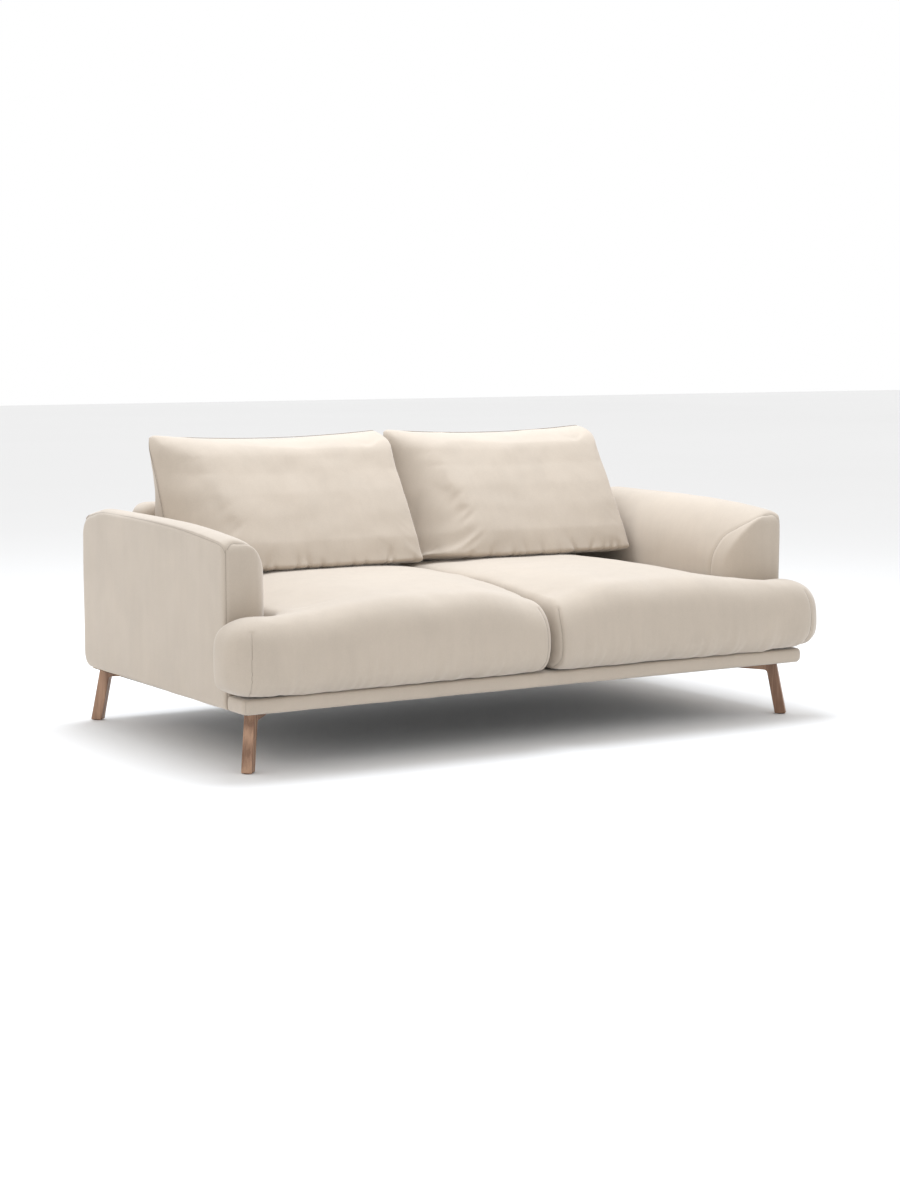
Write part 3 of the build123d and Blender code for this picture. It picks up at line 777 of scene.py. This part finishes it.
class Finish:
    """A material round one Principled shader, whose constants sit on its own sockets."""

    def __init__(self, name, **constants):
        self.material = bpy.data.materials.new(name)
        self.material.use_nodes = True
        self.tree = self.material.node_tree
        self.shader = self.tree.nodes["Principled BSDF"]
        for key, value in constants.items():
            self.shader.inputs[key.replace("_", " ")].default_value = value

    def node(self, kind, settings=None, inputs=None, output=0):
        made = self.tree.nodes.new(kind)
        for key, value in (settings or {}).items():
            if key == "stops":
                ramp = made.color_ramp.elements
                while len(ramp) < len(value):
                    ramp.new(0.5)
                for element, (place, colour) in zip(ramp, value):
                    element.position, element.color = place, colour
            else:
                setattr(made, key, value)
        for key, value in (inputs or {}).items():
            if isinstance(value, Value):
                self.tree.links.new(value.socket, made.inputs[key])
            else:
                made.inputs[key].default_value = value
        return Value(self, made.outputs[output])

    def place(self, scale=(1, 1, 1), turn=(0, 0, 0), move=(0, 0, 0)):
        """Object coordinates, moved, turned and stretched."""
        start = self.node("ShaderNodeTexCoord", output=3)
        return self.node("ShaderNodeMapping", None, {"Vector": start, "Location": move,
                                                     "Rotation": turn, "Scale": scale})

    def noise(self, where, scale, detail=3.0, roughness=0.55, distortion=0.0):
        return self.node("ShaderNodeTexNoise", None,
                         {"Vector": where, "Scale": scale, "Detail": detail,
                          "Roughness": roughness, "Distortion": distortion})

    def mix(self, factor, first, second):
        return self.node("ShaderNodeMix", {"data_type": "RGBA"},
                         {0: factor, 6: first, 7: second}, output=2)

    def span(self, value, low, high):
        """The value stretched so that low becomes 0 and high becomes 1."""
        return self.node("ShaderNodeMapRange", {"clamp": True},
                         {"Value": value, "From Min": low, "From Max": high})

    def bump(self, height, strength, distance):
        return self.node("ShaderNodeBump", None, {"Height": height, "Strength": strength,
                                                  "Distance": distance})

    def show(self, **links):
        for key, value in links.items():
            self.tree.links.new(value.socket, self.shader.inputs[key.replace("_", " ")])
        return self.material


def colour(red, green, blue, scale=1.0):
    """A shader colour from the 0 to 255 values of a colour chart."""
    chart = [value / 255 for value in (red, green, blue)]
    return (*[scale * (c / 12.92 if c <= 0.04045 else ((c + 0.055) / 1.055) ** 2.4)
              for c in chart], 1.0)


def dress(piece, material):
    """Give the piece this one material."""
    piece.data.materials.clear()
    piece.data.materials.append(material)
    return piece


# %% [markdown]
# The cover is a short-pile velvet. Close up it is a fine, even stubble that catches light at
# its edges; from further off the pile lies a little this way and that, which shows as soft
# cloudy patches and faint upright streaks. Sheen gives the pale edge, three noises give the
# rest, and the pile itself is a very small bump.

# %% The velvet
def velvet(name, base, seed):
    finish = Finish(name, Sheen_Weight=0.45, Sheen_Roughness=0.45, Sheen_Tint=(1, 0.98, 0.95, 1),
                    Specular_IOR_Level=0.25)
    where = finish.place(move=(seed, 2 * seed, 3 * seed))
    streaks = finish.noise(finish.place((1, 1, 0.16), move=(seed, 0, 0)), 38, 3, 0.6)
    clouds = finish.noise(where, 5.5, 4, 0.55, 0.4)
    pile = finish.noise(where, 900, 2, 0.7)
    fleck = finish.noise(where, 260, 3, 0.6)
    lay = clouds * 0.50 + streaks * 0.20 + fleck * 0.30
    dark = tuple(c * 0.94 for c in base[:3]) + (1,)
    light = tuple(min(1, c * 1.05) for c in base[:3]) + (1,)
    shade = finish.mix(finish.span(lay, 0.36, 0.64), dark, light)
    rough = finish.span(clouds * 0.6 + fleck * 0.4, 0.3, 0.7) * 0.12 + 0.82
    relief = finish.bump(pile * 0.7 + fleck * 0.5, 0.30, 0.0006)
    return finish.show(Base_Color=shade, Roughness=rough, Normal=relief)


cover_colour = colour(183, 171, 157)
velvets = {name: velvet("velvet_" + name, cover_colour, seed)
           for seed, name in enumerate(("arms", "seats", "pillows", "back", "rail"), 1)}

# %% [markdown]
# The legs are solid oiled hardwood with a reddish brown tone. Grain runs along each leg, so
# the pattern is turned to lie along the lean of that leg. Long stretched noise gives the
# fibres, a wave gives the growth rings, and short dark flecks are the open pores.

# %% The wood of the legs and of the hidden frame
leg_lean = math.radians(11.5)


def wood(name, dark, light, turn, fibre=1.0, rough=0.5, seed=0):
    finish = Finish(name, Coat_Weight=0.06, Coat_Roughness=0.4)
    along = finish.place((9, 9, 0.7), turn, (seed, seed, 0))
    rings = finish.node("ShaderNodeTexWave", {"wave_type": "RINGS", "rings_direction": "Z"},
                        {"Vector": along, "Scale": 2.2 * fibre, "Distortion": 5.0, "Detail": 3.0,
                         "Detail Scale": 1.2})
    fibres = finish.noise(finish.place((60, 60, 2.2), turn, (seed, 0, 0)), 4 * fibre, 4, 0.65)
    pores = finish.span(finish.noise(finish.place((220, 220, 9), turn), 3, 2, 0.5), 0.60, 0.72)
    tone = finish.mix(finish.span(rings * 0.35 + fibres * 0.65, 0.30, 0.68), dark, light)
    tone = finish.mix(pores * 0.45, tone, tuple(c * 0.45 for c in dark[:3]) + (1,))
    relief = finish.bump(fibres * 0.6 - pores * 0.8, 0.25, 0.0008)
    return finish.show(Base_Color=tone, Roughness=fibres * 0.18 + (rough - 0.09), Normal=relief)


leg_dark, leg_light = colour(120, 87, 65), colour(170, 134, 108)
for number, (name, piece) in enumerate(sorted(frame["nodes"].items())):
    if not name.endswith("_leg"):
        continue
    low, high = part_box(name)
    middle = (low + high) / 2
    side_x, side_y = math.copysign(1, middle.x), math.copysign(1, middle.y)
    turn = (-side_y * leg_lean * 0.7071, side_x * leg_lean * 0.7071, 0)
    dress(piece, wood(name + "_wood", leg_dark, leg_light, turn, seed=number))

# %% [markdown]
# Everything under the cover is seen only from below or when a cushion is lifted, but each of
# those pieces still has its own stuff: pale softwood, brown hardboard, foam, rubber webbing,
# felt, a woven deck cloth, a black dust cloth, plated steel, and the zip's tape and coil.

# %% The finishes of the hidden pieces
def speckled(name, base, other, scale, rough, bump_size=0.0005, strength=0.3, metal=0.0):
    """A plain stuff with an even, fine-grained surface."""
    finish = Finish(name, Metallic=metal)
    where = finish.place()
    fine, broad = finish.noise(where, scale, 4, 0.65), finish.noise(where, scale / 12, 3)
    tone = finish.mix(finish.span(fine * 0.6 + broad * 0.4, 0.34, 0.66), base, other)
    return finish.show(Base_Color=tone, Roughness=broad * 0.2 + (rough - 0.1),
                       Normal=finish.bump(fine, strength, bump_size))


def woven(name, base, other, pitch, rough=0.85):
    """A plain weave: threads across and along, each passing over and under."""
    finish = Finish(name)
    turns = 2 * math.pi / pitch
    split = finish.node("ShaderNodeSeparateXYZ", None, {0: finish.place((turns,) * 3)})
    other_axis = Value(finish, split.socket.node.outputs[1])
    weft = split.maths("SINE", split) * 0.5 + 0.5
    warp = other_axis.maths("SINE", other_axis) * 0.5 + 0.5
    over = weft * warp + (1 - weft) * (1 - warp)
    uneven = finish.noise(finish.place(), 40, 3)
    tone = finish.mix(finish.span(over * 0.5 + uneven * 0.5, 0.3, 0.75), base, other)
    return finish.show(Base_Color=tone, Roughness=uneven * 0.15 + (rough - 0.07),
                       Normal=finish.bump(over, 0.5, pitch / 5))


stuffs = {
    "frame_wood": wood("frame_softwood", colour(176, 138, 92), colour(222, 190, 142),
                       (0, math.pi / 2, 0), 0.7, 0.6, 3),
    "hardboard": speckled("hardboard", colour(104, 74, 48), colour(134, 98, 64), 420, 0.6),
    "foam": speckled("foam", colour(228, 218, 190), colour(242, 236, 214), 600, 0.95, 0.001, 0.6),
    "webbing": woven("webbing", colour(58, 50, 44), colour(122, 104, 84), 0.004),
    "felt": speckled("felt", colour(120, 118, 112), colour(160, 157, 150), 500, 0.97, 0.001, 0.5),
    "deck_cloth": woven("deck_cloth", colour(176, 166, 150), colour(206, 197, 182), 0.0016),
    "dust_cloth": speckled("dust_cloth", colour(30, 30, 31), colour(52, 52, 53), 700, 0.92),
    "steel": speckled("plated_steel", colour(150, 150, 152), colour(196, 196, 198), 300, 0.35,
                      0.0002, 0.15, 1.0),
    "zip": woven("zip_tape", colour(168, 156, 138), colour(196, 185, 168), 0.0012),
    "glide_plastic": speckled("glide_plastic", colour(38, 32, 28), colour(56, 48, 42), 350, 0.45),
    "velvet": velvets["back"],
}
materials = frame["record"]["materials"]
print("slots:", [m["slot"] for m in materials])

for name, piece in frame["nodes"].items():
    if name.endswith("_leg"):
        continue
    stuff = next((s for part, s in (
        ("webbing", "webbing"), ("felt", "felt"), ("deck_cloth", "deck_cloth"),
        ("dust_cover", "dust_cloth"), ("outside_back", "velvet"), ("panel", "hardboard"),
        ("glides", "glide_plastic"), ("screws", "steel"), ("bolts", "steel"),
        ("washers", "steel"), ("zip", "zip"), ("core", "foam"), ("padding", "foam"),
        ("cover", "velvet"), ("facing", "velvet")) if part in name), "frame_wood")
    dress(piece, stuffs[stuff])

# %% [markdown]
# Now the small parts are grown with their finishes on: the sewn seams, one mesh for each part
# of the sofa that moves on its own, in velvet darkened to paint the shade in the seam's valley;
# the coils of the four zips; and the staples underneath.

# %% Grow the seams, the zip coils and the staples
# Painted shade: the seam cords wear the cover colour darkened to 0.72, so each seam shows as a
# thin dark line of shade.
seam_painted_shade_finish = velvet("velvet_seams_painted_shade", tuple(c * 0.72 for c in cover_colour[:3]) + (1,), 6)
coil_finish = speckled("zip_coil", colour(150, 138, 120), colour(172, 160, 142), 800, 0.4)
for body, lines in laid.items():
    piece = sewn.grow(body + "_seams", lines, Material=seam_painted_shade_finish)
    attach(piece, body)
for side in ("right", "left"):
    for kind in ("seat", "back"):
        name = side + "_" + kind + "_cushion"
        low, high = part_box(name + "_zip")
        y = high.y if kind == "seat" else (low.y + high.y) / 2
        z = (low.z + high.z) / 2 if kind == "seat" else low.z
        piece = row_of.grow(name + "_zip_coil", [[(low.x + 0.01, y, z), (high.x - 0.01, y, z)]],
                            Pitch=0.0026, Across=0.0052, Along=0.0013, High=0.0016,
                            Material=coil_finish)
        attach(piece, name)
low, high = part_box("dust_cover")
edge = 0.012
corners = [(low.x + edge, low.y + edge), (high.x - edge, low.y + edge),
           (high.x - edge, high.y - edge), (low.x + edge, high.y - edge)]
square = [(x, y, low.z - 0.0002) for x, y in (*corners, corners[0])]
staples = row_of.grow("dust_cover_staples", [square], Pitch=0.045, Across=0.0012, Along=0.010,
                      High=0.0012, Material=stuffs["steel"])
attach(staples, "frame")

# %% [markdown]
# Each piece now gets its velvet and moves with its part of the sofa, and the solids of the
# design that it stands for are hidden.

# %% Hand the pieces to the frame
for side, arm in arms.items():
    dress(arm, velvets["arms"])
    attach(arm, "frame")
    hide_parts(side + "_arm_cover", side + "_arm_facing", side + "_arm_padding")
for side, cushion in seats.items():
    dress(cushion, velvets["seats"])
    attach(cushion, side + "_seat_cushion")
    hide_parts(side + "_seat_cushion_cover", side + "_seat_cushion_core")
for side, cushion in pillows.items():
    dress(cushion, velvets["pillows"])
    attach(cushion, side + "_back_cushion")
    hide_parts(side + "_back_cushion_cover", side + "_back_cushion_core")
dress(back, velvets["back"])
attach(back, "frame")
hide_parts("back_cover", "back_padding", "outside_back")
dress(rail, velvets["rail"])
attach(rail, "frame")
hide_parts("front_rail_cover", "front_rail_padding")

# %% [markdown]
# A pale floor, a pale room and two large soft lights are a plain product set. The light from
# above is the strongest, as in a room with a skylight, so the tops of the cushions are brightest.

# %% Set, lights and camera
floor_size = 30
floor = new_piece("floor", [(x, y, 0) for x, y in ((-1, -1), (1, -1), (1, 1), (-1, 1))],
                  [(0, 1, 2, 3)])
floor.scale = (floor_size, floor_size, 1)
dress(floor, speckled("floor_paint", (0.84, 0.84, 0.84, 1), (0.88, 0.88, 0.88, 1), 2, 0.9, 0.0001,
                      0.05))

world = bpy.data.worlds.new("room")
bpy.context.scene.world = world
world.use_nodes = True
world.node_tree.nodes["Background"].inputs["Color"].default_value = (1, 1, 1, 1)
world.node_tree.nodes["Background"].inputs["Strength"].default_value = 1.0


def softbox(name, place, aim, size, power, tint):
    data = bpy.data.lights.new(name, "AREA")
    data.shape, data.size, data.energy, data.color = "SQUARE", size, power, tint
    light = bpy.data.objects.new(name, data)
    bpy.context.scene.collection.objects.link(light)
    light.location = place
    light.rotation_euler = (Vector(aim) - Vector(place)).to_track_quat("-Z", "Y").to_euler()
    return light


softbox("overhead", (0.2, 0.5, 3.8), (0, 0.1, 0.3), 2.2, 134, (0.93, 0.99, 1.07))
softbox("left_fill", (-4.4, 0.4, 1.7), (0, 0, 0.4), 2.6, 16, (1, 1, 1))

camera_data = bpy.data.cameras.new("camera")
camera = bpy.data.objects.new("camera", camera_data)
bpy.context.scene.collection.objects.link(camera)
look_down, turn_right = 6.679, 31.860           # degrees
camera.location = (-3.7132, -5.9787, 1.1963)
camera.rotation_euler = (math.radians(90 - look_down), 0, math.radians(-turn_right))
camera_data.sensor_fit = "VERTICAL"
camera_data.sensor_height = 36
camera_data.lens = 68.484
bpy.context.scene.camera = camera
bpy.context.scene.view_settings.view_transform = "Standard"
print("set, lights and camera are ready")
